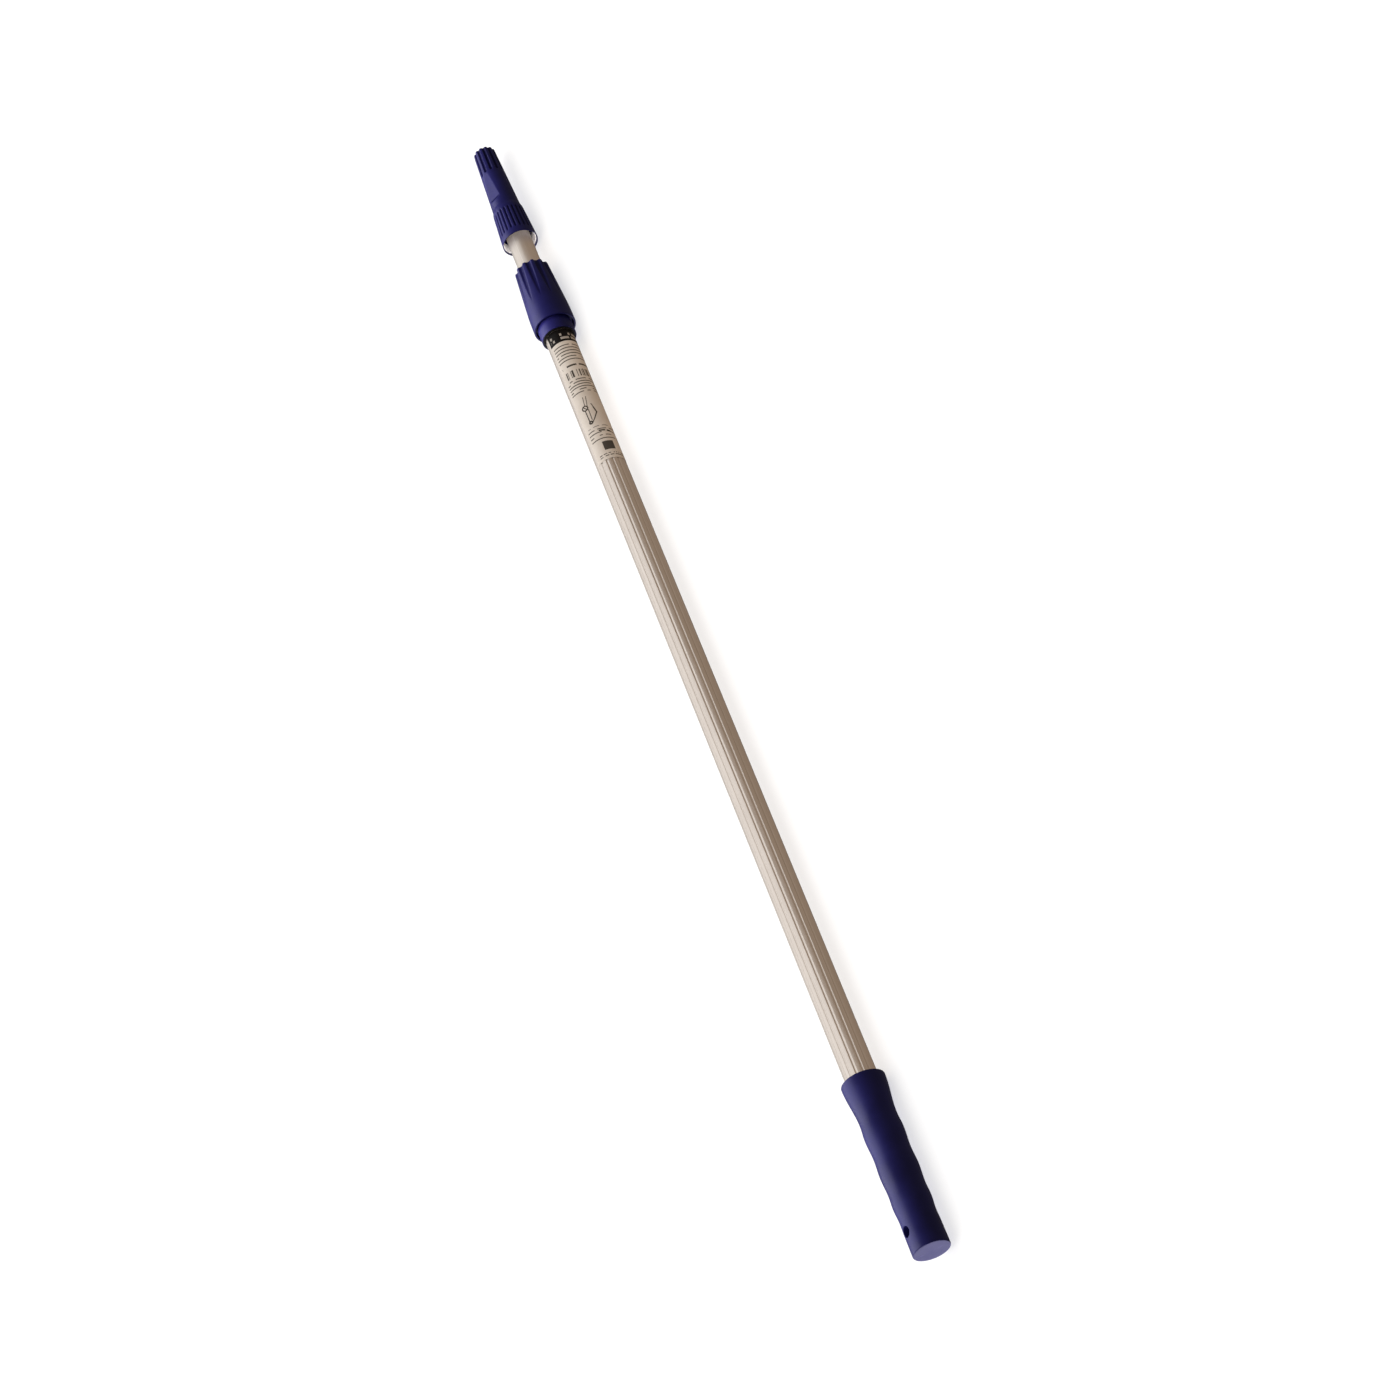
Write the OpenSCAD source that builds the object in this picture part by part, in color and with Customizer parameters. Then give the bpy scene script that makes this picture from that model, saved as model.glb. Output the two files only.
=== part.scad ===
// Telescopic extension pole for wall-finishing heads: a fluted outer tube with a
// moulded grip, a twist lock, and an inner tube that ends in a tapered spigot.
// The pole lies along X, butt towards -X, and every station is measured from the butt.

/* [Tubes] */
// Outside diameter of the outer tube
outer_d = 25; // [24.6:0.1:25.2]
// Wall thickness of the outer tube
outer_wall = 1.2; // [1.1:0.05:1.3]
// Length of the outer tube
outer_len = 922; // [860:1:1000]
// Number of shallow flutes along the outer tube
flute_count = 15; // [9:1:18]
// Depth of each flute
flute_depth = 0.45; // [0.2:0.05:0.5]
// Radius of the round cutter that makes a flute
flute_cut_r = 1.3; // [1:0.1:1.6]
// Outside diameter of the inner tube
inner_d = 21.4; // [21.3:0.05:21.5]
// Wall thickness of the inner tube
inner_wall = 1; // [0.8:0.05:1.2]
// Bare inner tube between the lock nut and the tip skirt at rest
rest_gap = 36; // [34:1:60]

/* [Grip] */
// Length of the moulded grip
grip_len = 142; // [138:1:150]
// Solid end of the grip, below the tube
grip_end = 26; // [25:1:30]
// Radius of the grip at its butt
grip_butt_r = 14.4; // [14.2:0.1:15]
// Radius of the grip at its flared top
grip_flare_r = 17.05; // [16.4:0.05:17.8]
// Radius of the hang hole
hang_r = 4; // [3:0.25:4.5]
// Distance from the butt to the hang hole's centre
hang_x = 17.3; // [15:0.1:18]
// Rounding of the butt edge
butt_round = 1.5; // [0.5:0.1:2]

/* [Lock nut] */
// Length of the lock nut
nut_len = 70.6; // [68:0.2:76]
// Widest radius of the lock nut
nut_r = 18.7; // [18.4:0.1:19.4]
// Radius of the lock nut at its top
nut_top_r = 15.45; // [15.3:0.05:16]
// Number of finger flutes round the nut
nut_flutes = 12; // [8:1:12]
// Length of the finger flutes
nut_flute_len = 46; // [38:1:48]
// Depth of the finger flutes at the top of the nut
nut_flute_depth = 1.8; // [0.6:0.1:1.8]

/* [Lock base and clamp] */
// Radius of the neck that shows below the nut
neck_r = 15.3; // [15.1:0.05:15.4]
// Length of neck that shows below the nut
neck_show = 12.6; // [11:0.1:13]
// Radius of the land that stands for the thread
thread_r = 14.6; // [14.5:0.05:14.8]
// Number of jaws in the clamp collet
jaw_count = 6; // [4:1:8]
// Width of the saw cuts between the jaws
jaw_slot = 1.2; // [0.8:0.1:2]

/* [Tip] */
// Length of the tip, from the skirt's rim to the end
tip_len = 116; // [114:1:124]
// Radius of the spigot at its end
spigot_end_r = 9.8; // [9.6:0.1:10]
// Radius of the spigot where it meets the collar
spigot_base_r = 12.85; // [12.7:0.05:13]
// Number of splines on the spigot
spline_count = 12; // [8:1:14]
// Length of the splines
spline_len = 31; // [24:1:34]
// Depth of the splines
spline_depth = 1.1; // [0.4:0.1:1.2]
// Radius of the skirt at its rim
skirt_r = 16.1; // [15.9:0.1:16.5]
// Number of grooves in the knurled band
knurl_count = 24; // [16:1:28]
// Depth of the knurl grooves
knurl_depth = 0.65; // [0.3:0.05:0.65]
// Distance from the axis to the two flats on the cone
flat_r = 10.9; // [10.7:0.1:11.4]

/* [Label] */
// Length of the printed film
label_len = 151; // [100:1:160]
// Angle that the film wraps round the tube
label_wrap = 250; // [120:5:330]
// Thickness of the film
label_t = 0.12; // [0.1:0.01:0.2]

/* [Hidden] */
$fn = 96;

fit = 0.05;          // radial gap of a running or seated fit
seat = 0.02;         // radial gap between pieces that are pressed together
past = 1;            // how far a cutter runs past the faces that it cuts
outer_r = outer_d / 2;
outer_bore = outer_r - outer_wall;
inner_r = inner_d / 2;
inner_bore = inner_r - inner_wall;
spindle_r = 7;       // journal that carries the glide ring
pin_r = 1.5;
axis_z = nut_r;      // the pole's axis lies this high, so the nut touches z = 0

// stations along the pole, measured from the butt
tube_x0 = grip_end;
tube_x1 = tube_x0 + outer_len;
base_x0 = tube_x1 - 41.2;
base_x1 = tube_x1 + 8;
base_pin_x = base_x0 + 37;
nut_x0 = base_x0 + neck_show;
nut_x1 = nut_x0 + nut_len;
skirt_x = nut_x1 + rest_gap;
tip_x1 = skirt_x + tip_len;
collar_len = 42;
cone_x0 = skirt_x + 24;
cone_x1 = skirt_x + collar_len;
spline_x = tip_x1 - spline_len;
inner_x1 = tip_x1 - 44;
plug_x0 = tube_x0 + 39;
glide_x0 = plug_x0 + 2.3;
glide_len = 21.4;
inner_x0 = glide_x0 + glide_len + 0.3;
mouth_x0 = tube_x1 - 39;
jaw_x0 = tube_x1 + 2.5;
jaw_x1 = nut_x1 - 6;
ring_x0 = jaw_x1 - 14;
ring_x1 = jaw_x1 + 0.8;
jaw_root_r = outer_r;
jaw_neck_r = 11.9;
jaw_head_r = 12.6;
jaw_nose_r = 11.4;
ring_r = 13.15;
label_x1 = base_x0 - 1;
label_x0 = label_x1 - label_len;

// angles round the pole, from straight up towards the front (-Y)
hang_angle = 0;
tube_phase = 1;
nut_phase = 25.3;
knurl_phase = 5;
spline_phase = 2.3;
flat_angle = 24;
label_angle = 6;

// waists and bulges of the grip, as [distance from the butt, radius]
grip_wave = [[0, grip_butt_r], [18, 14.3], [27.5, 14], [40, 14.7], [50.5, 14.25], [66, 14.95],
             [80.5, 14.3], [97, 15.1], [109.5, 14.4], [grip_len, grip_flare_r]];
wave_steps = 8;

// puts a shape that is built along +Z, from z = 0, on the pole at a station
module on_pole(x) translate([x - tip_x1 / 2, 0, axis_z]) rotate([0, 90, 0]) children();

// turns a shape that points along +X in that frame to an angle round the pole
module facing(angle) rotate(angle + 180) children();

// repeats a shape evenly round the pole
module ring_of(count, phase) {
    for (i = [0 : count - 1])
        facing(phase + i * 360 / count) children();
}

module tube(r, bore, len) {
    difference() {
        cylinder(r = r, h = len);
        translate([0, 0, -past]) cylinder(r = bore, h = len + 2 * past);
    }
}

// a body of revolution from [station, radius] points of its outside and its bore
module turned(outside, bore) {
    side = [for (p = outside) [p[1], p[0]]];
    hole = [for (i = [len(bore) - 1 : -1 : 0]) [bore[i][1], bore[i][0]]];
    rotate_extrude() polygon(concat(side, hole));
}

// smooth curve through the waists and bulges, one cosine step between neighbours
function ease(t) = (1 - cos(180 * t)) / 2;
function wave_line(p) = concat(
    [for (i = [0 : len(p) - 2], k = [0 : wave_steps - 1])
        let (t = k / wave_steps)
        [p[i][0] + t * (p[i + 1][0] - p[i][0]), p[i][1] + ease(t) * (p[i + 1][1] - p[i][1])]],
    [p[len(p) - 1]]);

// quarter arc of radius r round [x, y], as [station, radius] points
function arc(x, y, r, from, to, steps) =
    [for (i = [0 : steps]) let (a = from + i * (to - from) / steps) [x + r * cos(a), y + r * sin(a)]];

module outer_tube() {
    color([0.83, 0.8, 0.76])
    on_pole(tube_x0)
    difference() {
        linear_extrude(outer_len) difference() {
            circle(r = outer_r);
            circle(r = outer_bore);
            ring_of(flute_count, tube_phase)
                translate([outer_r + flute_cut_r - flute_depth, 0])
                circle(r = flute_cut_r, $fn = 32);
        }
        translate([0, 0, base_pin_x - tube_x0]) base_pin(pin_r + seat, 8);
    }
}

module grip() {
    rise = [for (p = wave_line(grip_wave)) if (p[0] > butt_round && p[0] < grip_len - 1) p];
    skin = concat(arc(butt_round, grip_butt_r - butt_round, butt_round, 180, 90, 5),
                  rise,
                  [[grip_len - 0.7, grip_flare_r], [grip_len, grip_flare_r - 0.7]]);
    color([0.23, 0.21, 0.5])
    on_pole(0)
    difference() {
        turned(skin, [[0, 0], [grip_len, 0]]);
        translate([0, 0, tube_x0]) cylinder(r = outer_r + seat, h = grip_len);
        translate([0, 0, hang_x]) facing(hang_angle) rotate([0, 90, 0])
            cylinder(r = hang_r, h = 4 * grip_butt_r, center = true);
    }
}

module butt_plug() {
    color("dimgray")
    on_pole(tube_x0)
    difference() {
        cylinder(r = outer_bore - seat, h = 8);
        translate([0, 0, 2]) cylinder(r = outer_bore - 2.2, h = 8);
    }
}

module lock_base() {
    neck = neck_show + 1.3;
    land0 = neck + 0.5;
    land1 = 33.2;
    len = base_x1 - base_x0;
    color([0.2, 0.18, 0.45])
    on_pole(base_x0)
    difference() {
        turned([[0, neck_r - 0.3], [0.3, neck_r], [neck - 0.4, neck_r], [neck, neck_r - 0.4],
                [land0, thread_r], [land1, thread_r], [land1 + 0.7, 13.9], [len, 13.9]],
               [[0, 14.55], [5, 14.55], [5, outer_r + seat], [len, outer_r + seat]]);
        translate([0, 0, base_pin_x - base_x0]) base_pin(pin_r + seat, 8);
    }
}

// the two short pins that fix the lock base to the outer tube, or their holes
module base_pin(r, len) {
    for (side = [-90, 90])
        facing(side) translate([outer_bore + seat, 0, 0]) rotate([0, 90, 0])
            cylinder(r = r, h = len);
}

module base_pins() {
    color("silver")
    on_pole(base_pin_x)
    base_pin(pin_r, 2.4);
}

module neck_seal() {
    color([0.05, 0.05, 0.06])
    on_pole(base_x0 - 0.5)
    tube(14.5, outer_r + seat, 5.4);
}

module mouth_bush() {
    sleeve = tube_x1 - mouth_x0;
    color("ivory")
    on_pole(mouth_x0)
    turned([[0, outer_bore - seat], [sleeve, outer_bore - seat], [sleeve, jaw_root_r], [sleeve + 2.4, jaw_root_r]],
           [[0, inner_r + fit], [sleeve + 2.4, inner_r + fit]]);
}

module clamp_jaws() {
    len = jaw_x1 - jaw_x0;
    root = 5.5;
    color("ivory")
    on_pole(jaw_x0)
    difference() {
        turned([[0, jaw_root_r], [root, jaw_root_r], [root + 0.6, jaw_neck_r],
                [len - 15.7, jaw_neck_r], [len - 14.5, jaw_head_r], [len - 11.5, jaw_head_r], [len, jaw_nose_r]],
               [[0, inner_r + fit], [len, inner_r + fit]]);
        ring_of(jaw_count, 0)
            translate([0, -jaw_slot / 2, root + 2]) cube([outer_d, jaw_slot, len]);
    }
}

module label() {
    color([0.93, 0.91, 0.86])
    on_pole(label_x0)
    rotate(label_angle + 180)
    rotate_extrude(angle = label_wrap)
    translate([outer_r + 0.02, 0])
    square([label_t, label_len]);
}

module clamp_ring() {
    len = ring_x1 - ring_x0;
    taper = (jaw_head_r - jaw_nose_r) / 11.5;
    mouth = jaw_head_r + 2 * fit;
    color("gainsboro")
    on_pole(ring_x0)
    turned([[0, ring_r - 0.3], [0.3, ring_r], [len, ring_r]],
           [[0, mouth], [2.5, mouth], [len, mouth - taper * (len - 2.5)]]);
}

// cutter for one finger flute, tilted so that it runs out of the surface
module finger_flute() {
    cut_r = 3.2;
    run_out = nut_r - 0.35 + cut_r;
    top = nut_top_r + cut_r - nut_flute_depth;
    tilt = atan((run_out - top) / nut_flute_len);
    translate([top, 0, nut_len]) rotate([0, 180 - tilt, 0]) translate([0, 0, -5])
        cylinder(r = cut_r, h = nut_flute_len + 10, $fn = 48);
}

module lock_nut() {
    edge = 1.3;
    mouth_r = neck_r + 1.9;
    step = 4.4;
    land = 21.6;
    pocket0 = ring_x0 - nut_x0 - 1;
    pocket1 = ring_x1 - nut_x0 + 0.1;
    land_r = thread_r + fit;
    hole_r = inner_r + 0.6;
    ring_gap = 0.3;
    low = arc(edge, nut_r - edge, edge, 180, 90, 6);
    color([0.22, 0.2, 0.5])
    on_pole(nut_x0)
    difference() {
        turned(concat(low, [[nut_len - 54, nut_r - 0.1], [nut_len - 0.8, nut_top_r + 0.05],
                            [nut_len, nut_top_r - 0.75]]),
               [[0, mouth_r], [step, mouth_r], [step, land_r], [land, land_r], [land, land_r + 0.3],
                [pocket0 - 4, land_r + 0.3], [pocket0 - 2.5, ring_r + ring_gap], [pocket1, ring_r + ring_gap],
                [pocket1, hole_r], [nut_len, hole_r]]);
        translate([0, 0, pocket1 + 1.2]) cylinder(r = 12.3, h = 2.6);
        ring_of(nut_flutes, nut_phase) finger_flute();
    }
}

module nut_wiper() {
    color([0.08, 0.08, 0.08])
    on_pole(ring_x1 + 1.4)
    tube(12.25, inner_r + fit, 2.4);
}

module glide_ring() {
    color("ivory")
    on_pole(glide_x0)
    turned([[0, outer_bore - 0.6], [0.6, outer_bore - fit], [glide_len - 0.6, outer_bore - fit],
            [glide_len, outer_bore - 0.6]],
           [[0, spindle_r + fit], [glide_len, spindle_r + fit]]);
}

module inner_tube() {
    color([0.85, 0.82, 0.78])
    on_pole(inner_x0)
    difference() {
        tube(inner_r, inner_bore, inner_x1 - inner_x0);
        translate([0, 0, cone_x0 + 6 - inner_x0]) rotate([90, 0, 0])
            cylinder(r = pin_r + seat, h = 60, center = true);
    }
}

module end_plug() {
    journal = inner_x0 - plug_x0;
    color("dimgray")
    on_pole(plug_x0)
    turned([[0, spindle_r + 0.4], [0.8, spindle_r + 1.2], [1.6, spindle_r + 1.2], [2, spindle_r],
            [journal, spindle_r], [journal, inner_bore - seat], [journal + 24, inner_bore - seat]],
           [[0, 3], [journal + 24, 3]]);
}

module tip_plug() {
    color("dimgray")
    on_pole(cone_x0 - 6)
    difference() {
        cylinder(r = inner_bore - seat, h = inner_x1 - cone_x0 + 4);
        translate([0, 0, 12]) rotate([90, 0, 0])
            cylinder(r = pin_r + seat, h = 60, center = true);
        translate([0, 0, 20]) cylinder(r = 5, h = tip_len);
    }
}

module spigot() {
    len = tip_x1 - cone_x0;
    cone = cone_x1 - cone_x0;
    slope = (spigot_base_r - spigot_end_r) / (tip_x1 - cone_x1);
    tilt = atan(slope);
    spline_r = spigot_end_r + slope * spline_len;
    flat_len = spline_x - cone_x1 - 9;
    cut_r = 1.55;
    color([0.2, 0.18, 0.5])
    on_pole(cone_x0)
    difference() {
        turned([[0, spigot_base_r], [cone, spigot_base_r], [len - 1.2, spigot_end_r + 1.2 * slope],
                [len, spigot_end_r - 1.1]],
               [[0, 0], [len, 0]]);
        translate([0, 0, -past]) cylinder(r = inner_r + seat, h = inner_x1 - cone_x0 + past);
        translate([0, 0, len - 20]) cylinder(r = 5.5, h = 40);
        translate([0, 0, 6]) rotate([90, 0, 0]) cylinder(r = pin_r + seat, h = 60, center = true);
        ring_of(spline_count, spline_phase)
            translate([spline_r + cut_r - spline_depth, 0, len - spline_len]) rotate([0, -tilt, 0])
                spline_cut(cut_r);
        ring_of(2, flat_angle)
            translate([flat_r, -outer_d / 2, spline_x - cone_x0 - flat_len])
                cube([outer_d, outer_d, flat_len]);
    }
}

// cutter for one spline groove, with a round end
module spline_cut(r) {
    translate([0, 0, 1.2]) cylinder(r = r, h = spline_len + 6, $fn = 32);
    translate([0, 0, 1.2]) sphere(r = r, $fn = 32);
}

module tip_collar() {
    band0 = 7;
    band1 = 34.5;
    band_r0 = 15.75;
    band_r1 = 14.15;
    cavity = cone_x0 - skirt_x;
    tilt = atan((band_r0 - band_r1) / (band1 - band0));
    cut_r = 1.3;
    color([0.2, 0.18, 0.5])
    on_pole(skirt_x)
    difference() {
        turned([[0, skirt_r - 0.3], [0.4, skirt_r], [band0 - 1, band_r0 + 0.08], [band0, band_r0], [band1, band_r1],
                [collar_len - 4, 13.9], [collar_len, spigot_base_r + 0.15]],
               [[0, 15.3], [cavity, spigot_base_r + fit], [collar_len, spigot_base_r + fit]]);
        ring_of(knurl_count, knurl_phase)
            translate([band_r0 + cut_r - knurl_depth, 0, band0]) rotate([0, -tilt, 0])
                knurl_cut(cut_r, band1 - band0);
    }
}

// cutter for one knurl groove, round at both ends
module knurl_cut(r, len) {
    cylinder(r = r, h = len, $fn = 32);
    sphere(r = r, $fn = 32);
    translate([0, 0, len]) sphere(r = r, $fn = 32);
}

module skirt_liner() {
    len = 7;
    inset = 2;
    fall = (15.3 - spigot_base_r) / (cone_x0 - skirt_x);
    color("whitesmoke")
    on_pole(skirt_x + inset)
    turned([[0, 15.2 - inset * fall], [len, 15.2 - (len + inset) * fall]],
           [[0, 14.5], [len, 13.75]]);
}

module tip_pin() {
    color("silver")
    on_pole(cone_x0 + 6)
    rotate([90, 0, 0])
    cylinder(r = pin_r, h = 2 * spigot_base_r - 0.4, center = true);
}

outer_tube();
grip();
butt_plug();
lock_base();
base_pins();
neck_seal();
mouth_bush();
clamp_jaws();
label();
clamp_ring();
lock_nut();
nut_wiper();
glide_ring();
inner_tube();
end_plug();
tip_plug();
spigot();
tip_collar();
skirt_liner();
tip_pin();
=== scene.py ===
import math

import bmesh
import bpy
from mathutils import Matrix, Vector


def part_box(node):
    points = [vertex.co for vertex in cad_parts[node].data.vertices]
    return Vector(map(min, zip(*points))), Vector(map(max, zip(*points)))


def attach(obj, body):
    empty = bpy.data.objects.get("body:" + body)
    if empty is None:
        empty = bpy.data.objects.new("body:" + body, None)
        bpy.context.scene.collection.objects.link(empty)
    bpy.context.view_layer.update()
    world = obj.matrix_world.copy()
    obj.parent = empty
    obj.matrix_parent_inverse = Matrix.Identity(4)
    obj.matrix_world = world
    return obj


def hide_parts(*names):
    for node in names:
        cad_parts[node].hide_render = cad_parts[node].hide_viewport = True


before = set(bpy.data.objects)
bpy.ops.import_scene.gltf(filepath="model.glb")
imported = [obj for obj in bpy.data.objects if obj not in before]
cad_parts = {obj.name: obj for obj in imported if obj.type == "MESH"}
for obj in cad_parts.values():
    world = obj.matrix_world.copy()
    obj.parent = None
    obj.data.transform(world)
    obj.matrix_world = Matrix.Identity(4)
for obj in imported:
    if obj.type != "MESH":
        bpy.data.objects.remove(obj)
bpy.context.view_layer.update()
scene = bpy.context.scene

mm = 0.001
pastEnd = 9  # how far a flute runs on past an open end, mm
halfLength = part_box("spigot")[1].x / mm  # the middle of the pole is at x = 0
axisHeight = (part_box("inner_tube")[0].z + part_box("inner_tube")[1].z) / 2


def station(node, side):  # low (0) or high (1) end, mm from the butt
    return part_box(node)[side].x / mm + halfLength


def radiusOf(node):
    low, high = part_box(node)
    return (high.y - low.y) / 2 / mm


print("frame loaded:", len(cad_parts), "nodes")


def softCorners(corners, steps=5):  # corners are (station, radius, rounding)
    points = []
    for i, (x, r, rounding) in enumerate(corners):
        here = Vector((x, r))
        if rounding <= 0:
            points.append(here)
            continue
        before = Vector(corners[i - 1][:2]) - here
        after = Vector(corners[(i + 1) % len(corners)][:2]) - here
        reach = min(rounding, before.length * 0.48, after.length * 0.48)
        start = here + before.normalized() * reach
        end = here + after.normalized() * reach
        for k in range(steps + 1):
            t = k / steps
            points.append(start * (1 - t) ** 2 + here * 2 * t * (1 - t) + end * t ** 2)
    return points


def fineSteps(points, step, low=-1e9, high=1e9):  # cuts the long runs of an outline into short ones
    out = []
    for i, p in enumerate(points):
        q = points[(i + 1) % len(points)]
        out.append(p)
        run = (q - p).length
        inside = min(p.x, q.x) < high and max(p.x, q.x) > low
        for k in range(1, int(run / step) if inside and run > step else 1):
            out.append(p.lerp(q, k / int(run / step)))
    return out


def turnedPiece(name, outline, turns, isOuter=None, sweep=None):  # carve is 1 where a cutter may reach
    mesh = bpy.data.meshes.new(name)
    bm = bmesh.new()
    carve = bm.verts.layers.float.new("carve")
    first, last = sweep or (0.0, 360.0)
    spokes = turns if sweep is None else turns + 1
    rings = []
    for s in range(spokes):
        psi = math.radians(first + (last - first) * s / turns)
        ring = []
        for p in outline:
            v = bm.verts.new(((p.x - halfLength) * mm, -p.y * math.sin(psi) * mm,
                              axisHeight + p.y * math.cos(psi) * mm))
            v[carve] = 1.0 if isOuter and isOuter(p.x, p.y) else 0.0
            ring.append(v)
        rings.append(ring)
    count = len(outline)
    for s in range(turns):
        a, b = rings[s], rings[(s + 1) % spokes]
        for i in range(count):
            j = (i + 1) % count
            bm.faces.new((a[i], a[j], b[j], b[i]))
    if sweep is not None:
        bm.faces.new(rings[0])
        bm.faces.new(list(reversed(rings[-1])))
    bmesh.ops.recalc_face_normals(bm, faces=bm.faces)
    bm.to_mesh(mesh)
    bm.free()
    mesh.shade_smooth()
    mesh.set_sharp_from_angle(angle=math.radians(38))
    piece = bpy.data.objects.new(name, mesh)
    scene.collection.objects.link(piece)
    return piece


def finishPiece(piece, material, body, slotName, *nodes):
    piece.data.materials.clear()
    piece.data.materials.append(material)
    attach(piece, body)
    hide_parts(*nodes)
    print("  piece", piece.name, len(piece.data.polygons), "faces")


class NodeBench:  # places and joins nodes
    def __init__(self, tree):
        self.tree = tree
        self.column = 0

    def add(self, kind, **settings):
        node = self.tree.nodes.new(kind)
        self.column += 1
        node.location = (180 * (self.column % 12), -220 * (self.column // 12))
        for key, value in settings.items():
            setattr(node, key, value)
        return node

    def feed(self, socket, value):
        if isinstance(value, bpy.types.NodeSocket):
            self.tree.links.new(value, socket)
        elif value is not None:
            socket.default_value = value

    def math(self, operation, a, b=None, c=None):
        node = self.add("ShaderNodeMath", operation=operation)
        for socket, value in zip(node.inputs, (a, b, c)):
            self.feed(socket, value)
        return node.outputs[0]


def treeWithSockets(name, kind, inputs, outputs):  # each socket has a number or a type's name
    tree = bpy.data.node_groups.new(name, kind)
    for side, sockets in (("INPUT", inputs), ("OUTPUT", outputs)):
        for label, value in sockets.items():
            plainType = {float: "Float", int: "Int"}.get(type(value), value)
            socket = tree.interface.new_socket(label, in_out=side, socket_type=f"NodeSocket{plainType}")
            if value != plainType:
                socket.default_value = value
    bench = NodeBench(tree)
    return tree, bench, bench.add("NodeGroupInput"), bench.add("NodeGroupOutput")


def endOfTree(bench, geometry, given, result):
    realized = bench.add("GeometryNodeRealizeInstances")
    bench.feed(realized.inputs[0], geometry)
    painted = bench.add("GeometryNodeSetMaterial")
    bench.feed(painted.inputs["Geometry"], realized.outputs[0])
    bench.feed(painted.inputs["Material"], given.outputs["Material"])
    bench.feed(result.inputs[0], painted.outputs[0])


def polarParts(bench):  # station, up, radius, angle of the point
    place = bench.add("GeometryNodeInputPosition")
    split = bench.add("ShaderNodeSeparateXYZ")
    bench.feed(split.inputs[0], place.outputs[0])
    up = bench.math("SUBTRACT", split.outputs["Z"], axisHeight)
    front = bench.math("MULTIPLY", split.outputs["Y"], -1.0)
    radius = bench.math("SQRT", bench.math("ADD", bench.math("MULTIPLY", up, up),
                                           bench.math("MULTIPLY", front, front)))
    return split, up, radius, bench.math("ARCTAN2", front, up)


def moveRadially(bench, given, split, up, radius, newRadius):  # only where carve lets it
    carve = bench.add("GeometryNodeInputNamedAttribute", data_type="FLOAT")
    carve.inputs["Name"].default_value = "carve"
    change = bench.math("MULTIPLY", bench.math("SUBTRACT", newRadius, radius), carve.outputs[0])
    scale = bench.math("DIVIDE", bench.math("ADD", radius, change), radius)
    joined = bench.add("ShaderNodeCombineXYZ")
    bench.feed(joined.inputs["X"], split.outputs["X"])
    bench.feed(joined.inputs["Y"], bench.math("MULTIPLY", split.outputs["Y"], scale))
    bench.feed(joined.inputs["Z"], bench.math("ADD", bench.math("MULTIPLY", up, scale), axisHeight))
    moved = bench.add("GeometryNodeSetPosition")
    bench.feed(moved.inputs["Geometry"], given.outputs["Geometry"])
    bench.feed(moved.inputs["Position"], joined.outputs[0])
    return moved.outputs[0]


def makeFluteTree():  # grooves with a round cutter
    tree, bench, given, result = treeWithSockets(
        "carveFlutes", "GeometryNodeTree",
        {"Geometry": "Geometry", "Count": 12, "Phase": 0.0, "Depth": 0.001, "Cutter Radius": 0.002, "Start": 0.0,
         "End": 1.0, "Start Fade": 0.001, "End Fade": 0.001, "Material": "Material"},
        {"Geometry": "Geometry"})
    split, up, radius, angle = polarParts(bench)
    pitch = bench.math("DIVIDE", 2 * math.pi, given.outputs["Count"])
    turned = bench.math("SUBTRACT", angle, given.outputs["Phase"])
    half = bench.math("MULTIPLY", pitch, 0.5)
    offAngle = bench.math("WRAP", turned, half, bench.math("MULTIPLY", half, -1.0))
    across = bench.math("MULTIPLY", offAngle, radius)
    inSide = bench.math("DIVIDE", bench.math("SUBTRACT", split.outputs["X"], given.outputs["Start"]),
                        given.outputs["Start Fade"])
    outSide = bench.math("DIVIDE", bench.math("SUBTRACT", given.outputs["End"], split.outputs["X"]),
                         given.outputs["End Fade"])
    fade = bench.math("MULTIPLY", bench.math("MINIMUM", bench.math("MAXIMUM", inSide, 0.0), 1.0),
                      bench.math("MINIMUM", bench.math("MAXIMUM", outSide, 0.0), 1.0))
    depth = bench.math("MULTIPLY", given.outputs["Depth"], fade)
    cutter = given.outputs["Cutter Radius"]
    chord = bench.math("SUBTRACT", bench.math("MULTIPLY", cutter, cutter),
                       bench.math("MULTIPLY", across, across))
    sag = bench.math("SQRT", bench.math("MAXIMUM", chord, 0.0))
    cut = bench.math("SMOOTH_MAX", bench.math("ADD", bench.math("SUBTRACT", sag, cutter), depth), 0.0,
                     bench.math("MULTIPLY", depth, 0.12))
    moved = moveRadially(bench, given, split, up, radius, bench.math("SUBTRACT", radius, cut))
    endOfTree(bench, moved, given, result)
    return tree


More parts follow.
